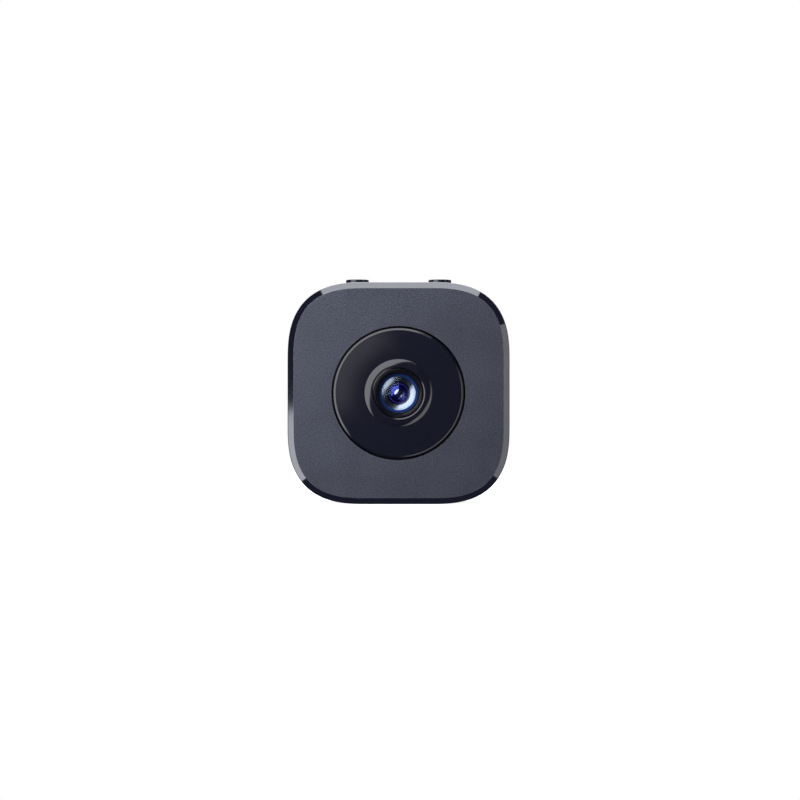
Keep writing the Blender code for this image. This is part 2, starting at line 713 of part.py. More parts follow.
def card_and_socket():
    size = Vector(CARD_SIZE)
    socket_mouth, socket_end, floor = -23.7 * MM, -9.6 * MM, 0.7 * MM
    socket_size = (socket_end - socket_mouth, 1.5 * MM, 13 * MM)
    middle = (socket_mouth + socket_end) / 2
    socket = finish(
        "card_socket", block(socket_size), bpy.data.materials["bright_metal"], (middle, CARD_DEPTH, CARD_Z)
    )
    cavity = bmesh.new()
    half_thick, half_wide = 0.55 * MM, size.z / 2 + 0.2 * MM
    add_block(
        cavity, (socket_mouth - MM, -half_thick, -half_wide), (socket_end - floor, half_thick, half_wide)
    )
    combine(socket, "DIFFERENCE", tool("card_cavity", cavity, (0, CARD_DEPTH, CARD_Z)))

    corner = 0.6 * MM
    outline = rounded_rectangle(size.x, size.z, corner, steps=2)
    card = prism(outline, -size.y / 2, size.y / 2)
    finish("memory_card", card, bpy.data.materials["card"], (CARD_OUTER_X + size.x / 2, CARD_DEPTH, CARD_Z))


# Buttons


def button(side, name):
    """A cap with a flange that keeps it in, above the plunger of its tactile switch."""
    x = side * BUTTON_X
    edge = 0.3 * MM
    cap = [
        (0, BUTTON_PROUD),
        (BUTTON_RADIUS - edge, BUTTON_PROUD - 0.05 * MM),
        (BUTTON_RADIUS, BUTTON_PROUD - edge),
        (BUTTON_RADIUS, FLANGE_TOP - TOP_HEIGHT),
        (BUTTON_RADIUS + 0.7 * MM, FLANGE_TOP - TOP_HEIGHT),
        (BUTTON_RADIUS + 0.7 * MM, FLANGE_TOP - TOP_HEIGHT - 0.8 * MM),
        (1.3 * MM, FLANGE_TOP - TOP_HEIGHT - 0.8 * MM),
        (1.3 * MM, STEM_END - TOP_HEIGHT),
        (0, STEM_END - TOP_HEIGHT),
    ]
    upright = (math.pi / 2, 0, 0)
    finish(
        f"{name}_button",
        turned(cap),
        bpy.data.materials["gloss_black"],
        (x, BUTTON_DEPTH, TOP_HEIGHT),
        upright,
    )

    body_size = (4.5 * MM, 4.5 * MM, SWITCH_HEIGHT)
    location = (x, BUTTON_DEPTH, SWITCH_BASE + SWITCH_HEIGHT / 2)
    switch = finish(
        f"{name}_switch", block(body_size, 0.2 * MM), bpy.data.materials["bright_metal"], location
    )
    well_floor = SWITCH_BASE + 0.65 * MM
    well = bmesh.new()
    add_peg(well, (0, 0, 0), 6 * MM, 1.25 * MM, axis="Z", steps=14)
    combine(switch, "DIFFERENCE", tool(f"{name}_switch_well", well, (x, BUTTON_DEPTH, well_floor + 3 * MM)))
    plunger_length = 1.55 * MM
    plunger = bmesh.new()
    add_peg(plunger, (0, 0, -plunger_length / 2), plunger_length, 1 * MM, axis="Z", steps=14)
    finish(
        f"{name}_switch_plunger",
        plunger,
        bpy.data.materials["barrel_black"],
        (x, BUTTON_DEPTH, PLUNGER_TOP),
    )


def key_board():
    size = (KEY_BOARD_LENGTH, KEY_BOARD_WIDTH, KEY_BOARD_THICKNESS)
    middle = (0, BUTTON_DEPTH, KEY_BOARD_TOP - KEY_BOARD_THICKNESS / 2)
    finish("button_board", block(size, 0.1 * MM), bpy.data.materials["board"], middle)
    under = KEY_BOARD_TOP - KEY_BOARD_THICKNESS - FINE_GAP
    back = BOARD_FRONT - FINE_GAP
    half = 3 * MM
    sheet = 0.2 * MM
    strip = bmesh.new()
    path = [(back - 4.5 * MM, under), (back - 2 * MM, under)]
    for step in range(1, 5):
        angle = math.pi / 2 * step / 4
        bend = 1.2 * MM
        path.append((back - 2 * MM + bend * math.sin(angle), under - bend + bend * math.cos(angle)))
    path += [(back - 0.8 * MM, 12.6 * MM), (back - 0.4 * MM, 11.6 * MM), (back - sheet, 10.4 * MM)]
    near = [strip.verts.new((-half, depth, z)) for depth, z in path]
    inner = [strip.verts.new((-half, depth - sheet, z - sheet)) for depth, z in path]
    face = strip.faces.new(near + inner[::-1])
    grown = bmesh.ops.extrude_face_region(strip, geom=[face])
    moved = [item for item in grown["geom"] if isinstance(item, bmesh.types.BMVert)]
    bmesh.ops.translate(strip, verts=moved, vec=(2 * half, 0, 0))
    finish("button_flex", strip, bpy.data.materials["flex"])


# Fasteners and mount


def screw(name, spot, seat, head_radius, head_height, radius, tip):
    """A cross-head screw driven from behind: its head stands rearwards of the seat."""
    x, z = spot
    edge = 0.2 * MM
    profile = [
        (0, seat + head_height),
        (head_radius - edge, seat + head_height),
        (head_radius, seat + head_height - edge),
        (head_radius, seat),
        (radius, seat),
        (radius, tip + radius / 2),
        (radius / 2, tip),
        (0, tip),
    ]
    made = finish(name, turned(profile[::-1], 12), bpy.data.materials["bright_metal"], (x, 0, z))
    arm, web, depth = 0.6 * head_radius, 0.13 * head_radius, 0.6 * head_height
    outline = []
    for quarter in range(4):
        turn = Matrix.Rotation(quarter * math.pi / 2, 2)
        outline += [turn @ Vector(point) for point in ((web, web), (web, arm), (-web, arm))]
    cross = prism(outline, seat + head_height - depth, seat + head_height + MM)
    combine(made, "DIFFERENCE", tool(f"{name}_drive", cross, (x, 0, z)))


def fasteners():
    for number, spot in enumerate(POST_SPOTS, 1):
        case_head = (CASE_HEAD_RADIUS, CASE_HEAD_HEIGHT)
        screw(f"case_screw_{number}", spot, CASE_HEAD_SEAT, *case_head, CASE_SCREW_RADIUS, CASE_SCREW_TIP)
        insert = ring_profile(INSERT_BORE, INSERT_RADIUS, 2.4 * MM, FRAME_END - 0.1 * MM)
        finish(
            f"thread_insert_{number}",
            turned(insert, 12),
            bpy.data.materials["brass"],
            (spot[0], 0, spot[1]),
        )
    small_head = (SMALL_HEAD_RADIUS, SMALL_HEAD_HEIGHT)
    for number, spot in enumerate(BOARD_SCREW_SPOTS, 1):
        screw(f"board_screw_{number}", spot, CHIP_LEVEL, *small_head, SMALL_SCREW_RADIUS, 13.7 * MM)
    for number, x in enumerate((-HOLDER_EAR, HOLDER_EAR), 1):
        screw(f"holder_screw_{number}", (x, 0), CHIP_LEVEL, *small_head, SMALL_SCREW_RADIUS, 14 * MM)


def magnetic_mount():
    magnet_size = (18 * MM, 7.4 * MM, 2 * MM)
    magnet_middle = (0, 11.6 * MM, MAGNET_SEAT + FINE_GAP + magnet_size[2] / 2)
    finish("mount_magnet", block(magnet_size, 0.2 * MM), bpy.data.materials["bright_metal"], magnet_middle)
    plate_top = RECESS_CEILING - 0.1 * MM
    plate = level_plate(MOUNT_PLATE_SIZE, 1.1 * MM, plate_top - MOUNT_PLATE_THICKNESS, plate_top)
    finish("mount_plate", plate, bpy.data.materials["bright_metal"])
    pad_size = (MOUNT_PLATE_SIZE[0] - 0.6 * MM, MOUNT_PLATE_SIZE[1] - 0.6 * MM)
    pad = level_plate(pad_size, 0.8 * MM, -TOP_HEIGHT, PAD_THICKNESS - TOP_HEIGHT)
    finish("adhesive_pad", pad, bpy.data.materials["foam"])


def materials():
    material("tool", (0.8, 0.3, 0.1), 0.5)
    material("anodised_grey", (0.075, 0.08, 0.105), 0.5, 0.6)
    material("matt_grey", (0.05, 0.053, 0.068), 0.6)
    material("gloss_black", (0.012, 0.013, 0.02), 0.1)
    material("barrel_black", (0.01, 0.01, 0.012), 0.45)
    material("glass", (0.05, 0.1, 0.4), 0.03)
    material("foam", (0.03, 0.03, 0.03), 0.95)
    material("chip", (0.02, 0.02, 0.022), 0.5)
    material("board", (0.01, 0.05, 0.03), 0.5)
    material("bright_metal", (0.6, 0.6, 0.62), 0.3, 1.0)
    material("brass", (0.65, 0.45, 0.16), 0.35, 1.0)
    material("thermal_pad", (0.35, 0.4, 0.5), 0.9)
    material("capacitor_sleeve", (0.02, 0.04, 0.12), 0.35)
    material("wire", (0.4, 0.02, 0.02), 0.5)
    material("flex", (0.35, 0.16, 0.03), 0.4)
    material("card", (0.015, 0.015, 0.018), 0.4)
    material("led_white", (0.8, 0.8, 0.8), 0.3)


def main():
    clear_scene()
    axis = bpy.data.objects.new("optical_axis", None)
    bpy.context.scene.collection.objects.link(axis)
    axis.location = (0, FRONT_Y, BODY_SIZE / 2)
    materials()
    front_frame()
    lens_bezel()
    main_housing()
    rear_cover()
    lens_unit()
    lens_holder()
    main_board()
    components()
    backup_capacitors()
    speaker()
    usb_socket()
    card_and_socket()
    button(-1, "left")
    button(1, "right")
    key_board()
    fasteners()
    magnetic_mount()


main()
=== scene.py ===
import json
import math

import bmesh
import bpy
from mathutils import Matrix, Vector


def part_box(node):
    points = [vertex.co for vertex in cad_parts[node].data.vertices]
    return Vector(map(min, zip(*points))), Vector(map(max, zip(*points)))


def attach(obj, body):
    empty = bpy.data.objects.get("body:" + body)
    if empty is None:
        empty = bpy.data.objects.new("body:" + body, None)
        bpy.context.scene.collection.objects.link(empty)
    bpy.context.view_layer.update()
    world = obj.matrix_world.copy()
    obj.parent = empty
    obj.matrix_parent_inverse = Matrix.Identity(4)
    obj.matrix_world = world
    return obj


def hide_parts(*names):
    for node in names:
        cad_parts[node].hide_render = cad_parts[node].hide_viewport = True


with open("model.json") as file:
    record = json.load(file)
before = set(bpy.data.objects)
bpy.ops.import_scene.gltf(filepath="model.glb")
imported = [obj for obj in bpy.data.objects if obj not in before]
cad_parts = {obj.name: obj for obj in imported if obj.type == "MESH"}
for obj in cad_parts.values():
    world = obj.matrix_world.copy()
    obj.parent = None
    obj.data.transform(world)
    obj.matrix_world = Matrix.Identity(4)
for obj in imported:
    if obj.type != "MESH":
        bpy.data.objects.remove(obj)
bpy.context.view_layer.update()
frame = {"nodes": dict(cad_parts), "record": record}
print("frame loaded:", len(frame["nodes"]), "solids")

# Pieces are drawn in millimetres as (across, depth behind the front face, height), from the lens axis.
mm = 0.001
frameLow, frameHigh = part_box("front_frame")
lensAxis = Vector(((frameLow.x + frameHigh.x) / 2, frameLow.y, (frameLow.z + frameHigh.z) / 2))


def boxOf(node):
    return [(corner - lensAxis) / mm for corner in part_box(node)]


def middleOf(node):
    low, high = boxOf(node)
    return (low + high) / 2


# ---- Materials ----


def linear(hexText):
    channels = [int(hexText[start:start + 2], 16) / 255 for start in (1, 3, 5)]
    return [c / 12.92 if c <= 0.04045 else ((c + 0.055) / 1.055) ** 2.4 for c in channels] + [1.0]


def addNode(tree, kind, inputs=None, **settings):
    node = tree.nodes.new("ShaderNode" + kind)
    for name, value in settings.items():
        setattr(node, name, value)
    for socket, value in (inputs or {}).items():
        if isinstance(value, bpy.types.NodeSocket):
            tree.links.new(value, node.inputs[socket])
        else:
            node.inputs[socket].default_value = value
    return node


def newMaterial(name):
    made = bpy.data.materials.new(name)
    made.use_nodes = True
    made.node_tree.nodes.clear()
    return made, made.node_tree


def grainedMaterial(name, look):
    # A finish with two sizes of grain: fine grain for bump, broad grain for uneven colour and gloss.
    made, tree = newMaterial(name)
    place = addNode(tree, "TexCoord").outputs["Object"]
    stretch = look.get("stretch", (1, 1, 1))
    place = addNode(tree, "Mapping", {"Vector": place, "Scale": stretch}).outputs["Vector"]
    perMetre = 1 / (look["grain"] * mm)
    fine = addNode(tree, "TexNoise", {"Vector": place, "Scale": perMetre, "Detail": 3.0, "Roughness": 0.6})
    broad = addNode(
        tree, "TexNoise", {"Vector": place, "Scale": perMetre / look.get("broad", 24), "Detail": 2.0}
    )
    spread = look.get("spread", 0.5)
    share = addNode(tree, "Mix", {"Factor": spread, "A": broad.outputs["Fac"], "B": fine.outputs["Fac"]})
    tone = addNode(tree, "MapRange", {"Value": share.outputs["Result"], "From Min": 0.3, "From Max": 0.7})
    colour = addNode(tree, "Mix", {"Factor": tone.outputs["Result"]}, data_type="RGBA")
    colour.inputs["A"].default_value = linear(look["dark"])
    colour.inputs["B"].default_value = linear(look["light"])
    low, high = look["roughness"]
    gloss = addNode(tree, "MapRange", {"Value": broad.outputs["Fac"], "From Min": 0.3, "From Max": 0.7})
    gloss.inputs["To Min"].default_value = low
    gloss.inputs["To Max"].default_value = high
    bump = addNode(tree, "Bump", {"Height": fine.outputs["Fac"], "Strength": 1.0})
    bump.inputs["Distance"].default_value = look.get("relief", 0.0) * mm
    shader = addNode(
        tree,
        "BsdfPrincipled",
        {
            "Base Color": colour.outputs["Result"],
            "Roughness": gloss.outputs["Result"],
            "Metallic": look.get("metallic", 0.0),
            "Normal": bump.outputs["Normal"],
            **look.get("sockets", {}),
        },
    )
    addNode(tree, "OutputMaterial", {"Surface": shader.outputs["BSDF"]})
    return made


# Real grain of 0.05 to 0.1 mm is too fine to show, so visible grains are drawn three to five times coarser.
looks = {
    # bead-blasted anodised aluminium: an even dark grey with a soft metallic bloom and a fine sparkle
    "anodisedBlasted": {
        "dark": "#454751", "light": "#5f616d", "metallic": 1.0, "roughness": (0.50, 0.54),
        "grain": 0.38, "relief": 0.04, "spread": 0.85,
    },
    # the same aluminium, cut bright after anodising: a clean mirror edge
    "brightCut": {
        "dark": "#a2a3a8", "light": "#a7a8ad", "metallic": 1.0, "roughness": (0.06, 0.075),
        "grain": 0.15, "relief": 0.0002,
    },
    # moulded ABS with a spark-eroded texture: dark, dry and slightly speckled
    "texturedAbs": {
        "dark": "#30313a", "light": "#393a44", "roughness": (0.52, 0.6), "grain": 0.3, "relief": 0.012,
    },
    # polished black PMMA: deep black with sharp reflections
    "pianoBlack": {
        "dark": "#14151f", "light": "#161722", "roughness": (0.1, 0.12), "grain": 0.8, "relief": 0.0003,
        "sockets": {"IOR": 1.49},
    },
    # the same moulding left satin on the hood, so the lamps spread into broad crescents
    "satinBlack": {
        "dark": "#13141d", "light": "#161721", "roughness": (0.1, 0.11), "grain": 0.4, "relief": 0.0003,
        "sockets": {"IOR": 1.49},
    },
    # black-oxidised brass, finely turned: near black, with a thin line of light on each edge
    "blackBarrel": {
        "dark": "#0b0c12", "light": "#0f1017", "roughness": (0.14, 0.18), "grain": 0.2,
        "relief": 0.001,
    },
    # stained spacer inside the lens: dull black
    "baffleBlack": {
        "dark": "#08090d", "light": "#0b0c11", "roughness": (0.16, 0.2), "grain": 0.3, "relief": 0.0004,
    },
    # polished ring inside the lens: a shallow funnel that shows the lamps as two opposite pale wedges
    "polishedSpacer": {
        "dark": "#8d9290", "light": "#949997", "metallic": 1.0, "roughness": (0.2, 0.22), "grain": 0.4,
        "relief": 0.0002,
    },
    # the ground rim behind the front glass, painted the blue of the coating's reflection: a painted
    # reflection
    "paintedBlueReflection": {
        "dark": "#1a3e78", "light": "#1c427e", "roughness": (0.3, 0.34), "grain": 0.3, "relief": 0.0004,
    },
    # the ring round the inner glass, painted the violet of its coating's reflection: a painted reflection
    "paintedVioletReflection": {
        "dark": "#4438b8", "light": "#4c40c4", "roughness": (0.25, 0.3), "grain": 0.3, "relief": 0.0004,
    },
    # closed-cell foam: dull black with open pores at its cut edge
    "foam": {
        "dark": "#141416", "light": "#232326", "roughness": (0.9, 0.97), "grain": 0.35, "relief": 0.05,
    },
    # glass-filled nylon: dull black with faint fibres
    "filledNylon": {
        "dark": "#131316", "light": "#1b1b1f", "roughness": (0.5, 0.6), "grain": 0.25, "relief": 0.008,
        "stretch": (1, 1, 0.3),
    },
    # moulded epoxy of a chip: flat charcoal with a fine matt grain
    "chipEpoxy": {
        "dark": "#17181b", "light": "#1f2024", "roughness": (0.45, 0.55), "grain": 0.12, "relief": 0.004,
    },
    # tinned and stamped steel: bright, with faint rolling lines
    "tinnedSteel": {
        "dark": "#b4b5ba", "light": "#c6c7cb", "metallic": 1.0, "roughness": (0.2, 0.32), "grain": 0.16,
        "relief": 0.002, "stretch": (1, 0.06, 1),
    },
    # black zinc on steel screws: dark metal with bright worn grain
    "blackZinc": {
        "dark": "#3a3b40", "light": "#56575d", "metallic": 1.0, "roughness": (0.28, 0.4), "grain": 0.18,
        "relief": 0.003,
    },
    # zinc-plated sheet: pale grey with small dull spangles
    "zincPlate": {
        "dark": "#9b9da3", "light": "#b7b9bf", "metallic": 1.0, "roughness": (0.28, 0.4), "grain": 0.5,
        "relief": 0.003,
    },
    # nickel plate over a magnet: warm, bright and nearly mirror smooth
    "nickelPlate": {
        "dark": "#a9a59c", "light": "#bab6ad", "metallic": 1.0, "roughness": (0.12, 0.2), "grain": 0.4,
        "relief": 0.001,
    },
    # turned brass: yellow metal with fine lathe marks
    "turnedBrass": {
        "dark": "#b08b4a", "light": "#c79f57", "metallic": 1.0, "roughness": (0.22, 0.32), "grain": 0.12,
        "relief": 0.003, "stretch": (0.2, 1, 0.2),
    },
    # mill-finish aluminium sheet: pale, with rolling lines
    "milledAluminium": {
        "dark": "#b3b5ba", "light": "#c5c7cc", "metallic": 1.0, "roughness": (0.3, 0.42), "grain": 0.2,
        "relief": 0.003, "stretch": (0.08, 1, 1),
    },
    # gap-filling silicone: chalky grey-blue putty sheet
    "siliconePutty": {
        "dark": "#7b8797", "light": "#8b97a6", "roughness": (0.85, 0.95), "grain": 0.3, "relief": 0.02,
    },
    # heat-shrunk PVC sleeve: glossy dark blue with slight waves
    "shrinkSleeve": {
        "dark": "#12214a", "light": "#182a5a", "roughness": (0.25, 0.35), "grain": 1.2, "relief": 0.03,
    },
    # silicone wire insulation: soft red
    "wireInsulation": {
        "dark": "#8e1410", "light": "#a51c16", "roughness": (0.45, 0.55), "grain": 0.4, "relief": 0.004,
    },
    # amber polyimide film of the flex strip: translucent-looking orange with a satin face
    "polyimideFilm": {
        "dark": "#a8641a", "light": "#bd7524", "roughness": (0.3, 0.4), "grain": 0.6, "relief": 0.003,
    },
    # moulded ABS of the memory card: fine matt black
    "cardAbs": {
        "dark": "#141518", "light": "#1b1c20", "roughness": (0.4, 0.5), "grain": 0.12, "relief": 0.004,
    },
    # gold-plated contacts: clean yellow metal
    "goldContact": {
        "dark": "#d2a446", "light": "#e0b458", "metallic": 1.0, "roughness": (0.18, 0.26), "grain": 0.1,
        "relief": 0.001,
    },
    # white ceramic package of the lamp
    "lampCeramic": {
        "dark": "#d6d6d0", "light": "#e4e4de", "roughness": (0.4, 0.5), "grain": 0.3, "relief": 0.002,
    },
    # frosted acrylic of the light pipe: milky, lit from within when the lamp is on
    "frostedAcrylic": {
        "dark": "#c3c9ce", "light": "#d2d8dc", "roughness": (0.3, 0.4), "grain": 0.2, "relief": 0.002,
        "sockets": {"IOR": 1.49, "Subsurface Weight": 0.3, "Subsurface Scale": 0.001},
    },
}
finishes = {name: grainedMaterial(name, look) for name, look in looks.items()}


def coatedGlass(name, tint, edgeTint, strength, roughness):
    # polished glass with an interference coating: clear from the front, its reflections tinted
    made, tree = newMaterial(name)
    place = addNode(tree, "TexCoord").outputs["Object"]
    waver = addNode(tree, "TexNoise", {"Vector": place, "Scale": 1 / (2 * mm), "Detail": 1.0})
    facing = addNode(tree, "LayerWeight", {"Blend": 0.35}).outputs["Facing"]
    blend = addNode(tree, "Math", {0: waver.outputs["Fac"], 1: 0.12}, operation="MULTIPLY_ADD")
    tree.links.new(facing, blend.inputs[2])
    colour = addNode(tree, "Mix", {"Factor": blend.outputs["Value"]}, data_type="RGBA")
    colour.inputs["A"].default_value = linear(tint)
    colour.inputs["B"].default_value = linear(edgeTint)
    mirror = addNode(tree, "BsdfGlossy", {"Color": colour.outputs["Result"], "Roughness": roughness})
    clear = addNode(tree, "BsdfTransparent", {"Color": (0.93, 0.95, 1.0, 1.0)})
    # Schlick's curve, the same from both sides of the glass, because light isn't bent on its way through
    steep = addNode(tree, "LayerWeight", {"Blend": 0.5}).outputs["Facing"]
    fresnel = addNode(tree, "Math", {0: steep, 1: 5.0}, operation="POWER").outputs["Value"]
    amount = addNode(tree, "MapRange", {"Value": fresnel, "To Min": strength, "To Max": 0.9})
    mixed = addNode(tree, "MixShader", {0: amount.outputs["Result"], 1: clear.outputs["BSDF"]})
    tree.links.new(mirror.outputs["BSDF"], mixed.inputs[2])
    addNode(tree, "OutputMaterial", {"Surface": mixed.outputs["Shader"]})
    return made


finishes["frontCoating"] = coatedGlass("frontCoating", "#c6e4f6", "#5f9dff", 0.012, 0.06)
finishes["hollowCoating"] = coatedGlass("hollowCoating", "#9fb4ff", "#6f8cff", 0.015, 0.12)
finishes["innerCoating"] = coatedGlass("innerCoating", "#6a78ff", "#3a28ff", 0.14, 0.09)
finishes["spotCoating"] = coatedGlass("spotCoating", "#f4f2ff", "#b8aaff", 0.6, 0.08)
finishes["rearCoating"] = coatedGlass("rearCoating", "#e6deff", "#a89cff", 0.1, 0.08)
finishes["filterCoating"] = coatedGlass("filterCoating", "#ff6a7a", "#b04cff", 0.15, 0.03)


def circuitBoardMaterial():
    # solder mask over copper: green gloss, with paler tracks and tinned pads on a 1.27 mm grid
    made, tree = newMaterial("solderMask")
    place = addNode(tree, "TexCoord").outputs["Object"]
    grid = addNode(
        tree, "TexBrick", {"Vector": place, "Scale": 1 / (1.27 * mm), "Mortar Size": 0.09}, offset=0.37
    )
    grid.inputs["Color1"].default_value = linear("#0d4d2b")
    grid.inputs["Color2"].default_value = linear("#0f5530")
    grid.inputs["Mortar"].default_value = linear("#1a7444")
    pads = addNode(tree, "TexVoronoi", {"Vector": place, "Scale": 1 / (2.4 * mm), "Randomness": 0.7})
    padMask = addNode(tree, "Math", {0: pads.outputs["Distance"], 1: 0.16}, operation="LESS_THAN")
    isPad = padMask.outputs["Value"]
    colour = addNode(tree, "Mix", {"Factor": isPad, "A": grid.outputs["Color"]}, data_type="RGBA")
    colour.inputs["B"].default_value = linear("#c9cace")
    bump = addNode(tree, "Bump", {"Height": grid.outputs["Fac"], "Distance": 0.02 * mm, "Strength": 1.0})
    shader = addNode(
        tree,
        "BsdfPrincipled",
        {
            "Base Color": colour.outputs["Result"],
            "Metallic": isPad,
            "Roughness": 0.3,
            "Normal": bump.outputs["Normal"],
        },
    )
    addNode(tree, "OutputMaterial", {"Surface": shader.outputs["BSDF"]})
    return made


finishes["solderMask"] = circuitBoardMaterial()
print("materials made:", len(finishes))


# ---- Shapes ----


def roundCorners(corners, closed=True, steps=5):
    # (u, v, fillet) corners become points, with an arc in place of each corner that has a fillet
    points = []
    count = len(corners)
    for index, (u, v, fillet) in enumerate(corners):
        here = Vector((u, v))
        atEnd = not closed and index in (0, count - 1)
        if not fillet or atEnd:
            points.append(here)
            continue
        before = (Vector(corners[index - 1][:2]) - here).normalized()
        after = (Vector(corners[(index + 1) % count][:2]) - here).normalized()
        half = before.angle(after) / 2
        centre = here + (before + after).normalized() * fillet / math.sin(half)
        reach = fillet / math.tan(half)
        start = here + before * reach - centre
        finish = here + after * reach - centre
        sweep = start.angle_signed(finish)
        for step in range(steps + 1):
            points.append(centre + Matrix.Rotation(-sweep * step / steps, 2) @ start)
    return points


def caseRing(inset, depth, cornerSteps=30, flatSteps=10):
    # one loop of the rounded-square case, moved in along its own normals
    flat = case["side"] / 2 - case["cornerLength"]
    power = case["exponent"]
    quarter = []
    for step in range(cornerSteps + 1):
        angle = math.pi / 2 * step / cornerSteps
        across = math.cos(angle) ** (2 / power) if step < cornerSteps else 0.0
        up = math.sin(angle) ** (2 / power)
        normal = Vector((across ** (power - 1), up ** (power - 1))).normalized()
        corner = Vector((flat + case["cornerLength"] * across, flat + case["cornerLength"] * up))
        quarter.append(corner - inset * normal)
    for step in range(1, flatSteps):
        quarter.append(Vector((flat * (1 - 2 * step / flatSteps), case["side"] / 2 - inset)))
    ring = []
    for turn in range(4):
        rotation = Matrix.Rotation(turn * math.pi / 2, 2)
        ring += [rotation @ point for point in quarter]
    return [Vector((x, depth, z)) for x, z in ring]


def loft(rings, closed=False):
    shape = bmesh.new()
    loops = [[shape.verts.new(point * mm) for point in ring] for ring in rings]
    pairs = list(zip(loops, loops[1:]))
    if closed:
        pairs.append((loops[-1], loops[0]))
    for near, far in pairs:
        for index in range(len(near)):
            shape.faces.new((near[index - 1], near[index], far[index], far[index - 1]))
    if not closed:
        shape.faces.new(loops[0])
        shape.faces.new(loops[-1])
    return shape


def turned(profile, steps=128):
    # turned about the lens axis from (radius, depth) points; it is full if it starts and ends at radius 0
    shape = bmesh.new()
    full = profile[0].x == 0
    loops = []
    for radius, depth in profile:
        if radius == 0:
            loops.append([shape.verts.new((0, depth * mm, 0))])
            continue
        ring = []
        for step in range(steps):
            angle = 2 * math.pi * step / steps
            ring.append(
                shape.verts.new(Vector((radius * math.cos(angle), depth, radius * math.sin(angle))) * mm)
            )
        loops.append(ring)
    pairs = list(zip(loops, loops[1:]))
    if not full:
        pairs.append((loops[-1], loops[0]))
    for near, far in pairs:
        for index in range(steps):
            corners = [near[index - 1], near[index]] if len(near) > 1 else [near[0]]
            corners += [far[index], far[index - 1]] if len(far) > 1 else [far[0]]
            shape.faces.new(corners)
    return shape


def roundedRectangle(width, height, radius, steps=8):
    points = []
    for quarter, (side, end) in enumerate(((1, 1), (-1, 1), (-1, -1), (1, -1))):
        centre = Vector((side * (width / 2 - radius), end * (height / 2 - radius)))
        for step in range(steps + 1):
            angle = (quarter + step / steps) * math.pi / 2
            points.append(centre + radius * Vector((math.cos(angle), math.sin(angle))))
    return points


def slab(width, height, radius, near, far, edge):
    # a rounded-rectangle plate between two depths, with its edges rounded
    section = roundCorners(
        [(width / 2, near, 0), (0, near, edge), (0, far, edge), (width / 2, far, 0)], closed=False
    )
    rings = []
    for inset, depth in section[1:-1]:
        outline = roundedRectangle(width - 2 * inset, height - 2 * inset, max(radius - inset, 0.02))
        rings.append([Vector((x, depth, z)) for x, z in outline])
    return loft(rings)


def flaredCutter(width, height, radius, flare, reach):
    # cuts a slot through a face at depth 0, with a chamfer of width flare round its mouth
    rings = []
    for grow, depth in ((flare + 1, -1), (0, flare), (0, reach)):
        outline = roundedRectangle(width + 2 * grow, height + 2 * grow, radius + grow)
        rings.append([Vector((x, depth, z)) for x, z in outline])
    return loft(rings)


def moved(shape, offset=(0, 0, 0), turn=None):
    if turn:
        bmesh.ops.transform(shape, matrix=Matrix.Rotation(turn[0], 4, turn[1]), verts=shape.verts)
    bmesh.ops.translate(shape, verts=shape.verts, vec=Vector(offset) * mm)
    return shape


def fromAxis(centre):
    return math.hypot(centre.x, centre.z)


def paint(shape, index, test):
    for face in shape.faces:
        if test(face.calc_center_median() / mm, face.normal):
            face.material_index = index
    return shape


def toObject(name, shape, materials):
    bmesh.ops.recalc_face_normals(shape, faces=shape.faces)
    mesh = bpy.data.meshes.new(name)
    shape.to_mesh(mesh)
    shape.free()
    for material in materials:
        mesh.materials.append(material)
    made = bpy.data.objects.new(name, mesh)
    bpy.context.scene.collection.objects.link(made)
    made.location = lensAxis
    return made


def addPiece(name, shape, looksUsed, body, nodes, cuts=(), joins=()):
    # the shape as a finished piece: carved, smooth with crisp edges, and riding on its body
    materials = [finishes[look] for look in looksUsed]
    piece = toObject(name, shape, materials)
    others = []
    for operation, shapes in (("UNION", joins), ("DIFFERENCE", cuts)):
        for number, other in enumerate(shapes):
            tool = toObject(f"{name}Tool{operation}{number}", other, materials)
            others.append(tool)
            modifier = piece.modifiers.new(tool.name, "BOOLEAN")
            modifier.operation = operation
            modifier.solver = "EXACT"
            modifier.object = tool
    if others:
        bpy.context.view_layer.update()
        carved = bpy.data.meshes.new_from_object(piece.evaluated_get(bpy.context.evaluated_depsgraph_get()))
        piece.modifiers.clear()
        piece.data = carved
        carved.name = name
        for tool in others:
            bpy.data.objects.remove(tool, do_unlink=True)
    piece.data.shade_smooth()
    piece.data.set_sharp_from_angle(angle=math.radians(32))
    normals = piece.modifiers.new("flatFaces", "WEIGHTED_NORMAL")
    normals.keep_sharp = True
    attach(piece, body)
    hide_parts(*nodes)


# ---- Case ----

case = {"side": (frameHigh.x - frameLow.x) / mm, "cornerLength": 19.2, "exponent": 2.7, "wall": 2.0}
frameShape = {
    "chamfer": 1.5, "chamferRound": 0.8, "backRound": 0.2, "opening": 16.2, "lip": 0.12, "plate": 1.8,
}
frameEnd = boxOf("front_frame")[1].y
housingStart, housingEnd = (corner.y for corner in boxOf("main_housing"))
coverStart, coverEnd = (corner.y for corner in boxOf("rear_cover"))
halfSide = case["side"] / 2
postSpots = [(x * 20, z * 20) for x in (-1, 1) for z in (-1, 1)]
post = {"radius": 2.6, "bore": 1.15, "insertSeat": 1.65, "insertDepth": 2.2}


def pegs(radius, near, far):
    # one straight peg at each case screw, for the posts and their bores
    side = [Vector(point) for point in ((0, near), (radius, near), (radius, far), (0, far))]
    return [moved(turned(side, 48), (x, 0, z)) for x, z in postSpots]


